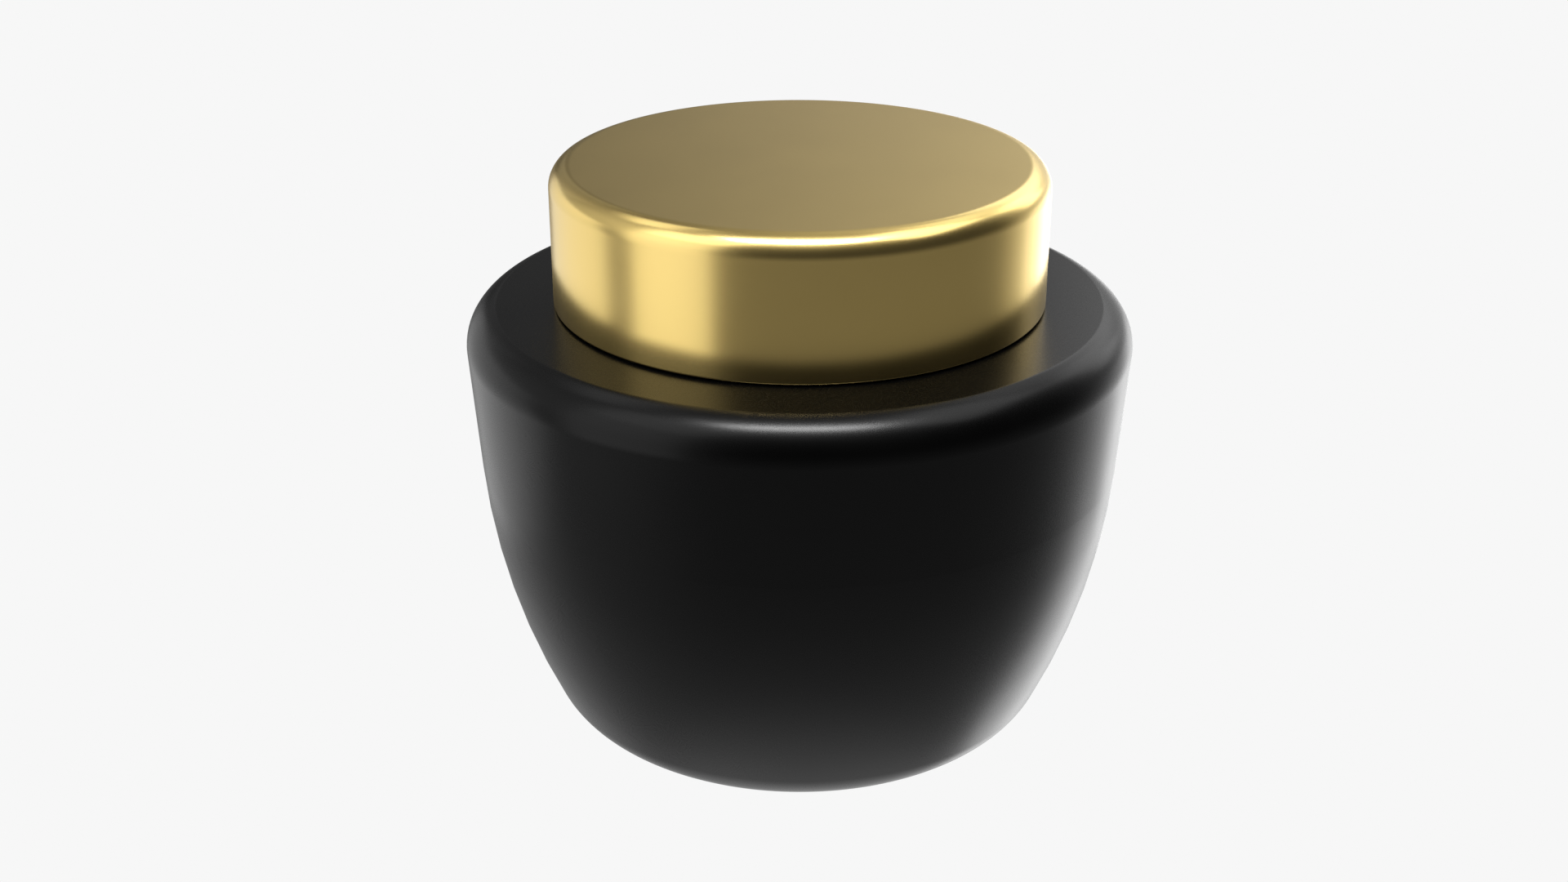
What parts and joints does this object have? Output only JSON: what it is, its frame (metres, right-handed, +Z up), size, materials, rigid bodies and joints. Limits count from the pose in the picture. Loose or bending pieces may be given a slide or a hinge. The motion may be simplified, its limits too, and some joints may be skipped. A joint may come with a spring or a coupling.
{
  "type": "cosmetic cream jar",
  "caption": "Round refillable cream jar: bowl-shaped outer jar with a flat shoulder, lift-out threaded cup, sealing lid and a metal-clad screw cap.",
  "frame": {"origin": "centre of the foot's flat underside", "axes": "+Z up along the jar's axis, from the foot to the cap; X and Y are level"},
  "size_m": [0.068, 0.068, 0.0597],
  "materials": {
    "jar_black": "satin black lacquer on thick moulded plastic",
    "label_paper": "plain matt paper label",
    "cup_white": "moulded polypropylene",
    "ring_silicone": "matt silicone",
    "cream": "soft glossy cream",
    "lid_natural": "natural polyethylene",
    "liner_foam": "fine closed-cell foam",
    "closure_white": "moulded polypropylene",
    "weight_steel": "rolled steel disc",
    "cap_gold": "satin gold anodised"
  },
  "bodies": {
    "jar": {"outer_jar": "jar_black", "base_label": "label_paper"},
    "pod": {"inner_cup": "cup_white", "retention_ring": "ring_silicone", "cream": "cream"},
    "sealing_lid": {"inner_lid": "lid_natural"},
    "liner": {"seal_liner": "liner_foam"},
    "cap": {"cap_shell": "cap_gold", "cap_inner": "closure_white", "cap_weight": "weight_steel"}
  },
  "joints": [
    {"name": "pod_lift", "type": "slide", "parent": "jar", "child": "pod", "axis": [0, 0, 1], "range_m": [0, 0.042]},
    {"name": "lid_lift", "type": "slide", "parent": "pod", "child": "sealing_lid", "axis": [0, 0, 1], "range_m": [0, 0.0121]},
    {"name": "cap_rise", "type": "slide", "parent": "pod", "child": "liner", "axis": [0, 0, 1], "range_m": [0, 0.0241]},
    {"name": "cap_turn", "type": "hinge", "parent": "liner", "child": "cap", "pos_m": [0, 0, 0], "axis": [0, 0, 1], "range_deg": [0, 1080]}
  ],
  "couplings": [
    {"joint": "cap_rise", "follows": "cap_turn", "m_per_rad": 0.0012732},
    {"joint": "lid_lift", "follows": "cap_turn", "m_per_rad": 0.00063662}
  ]
}
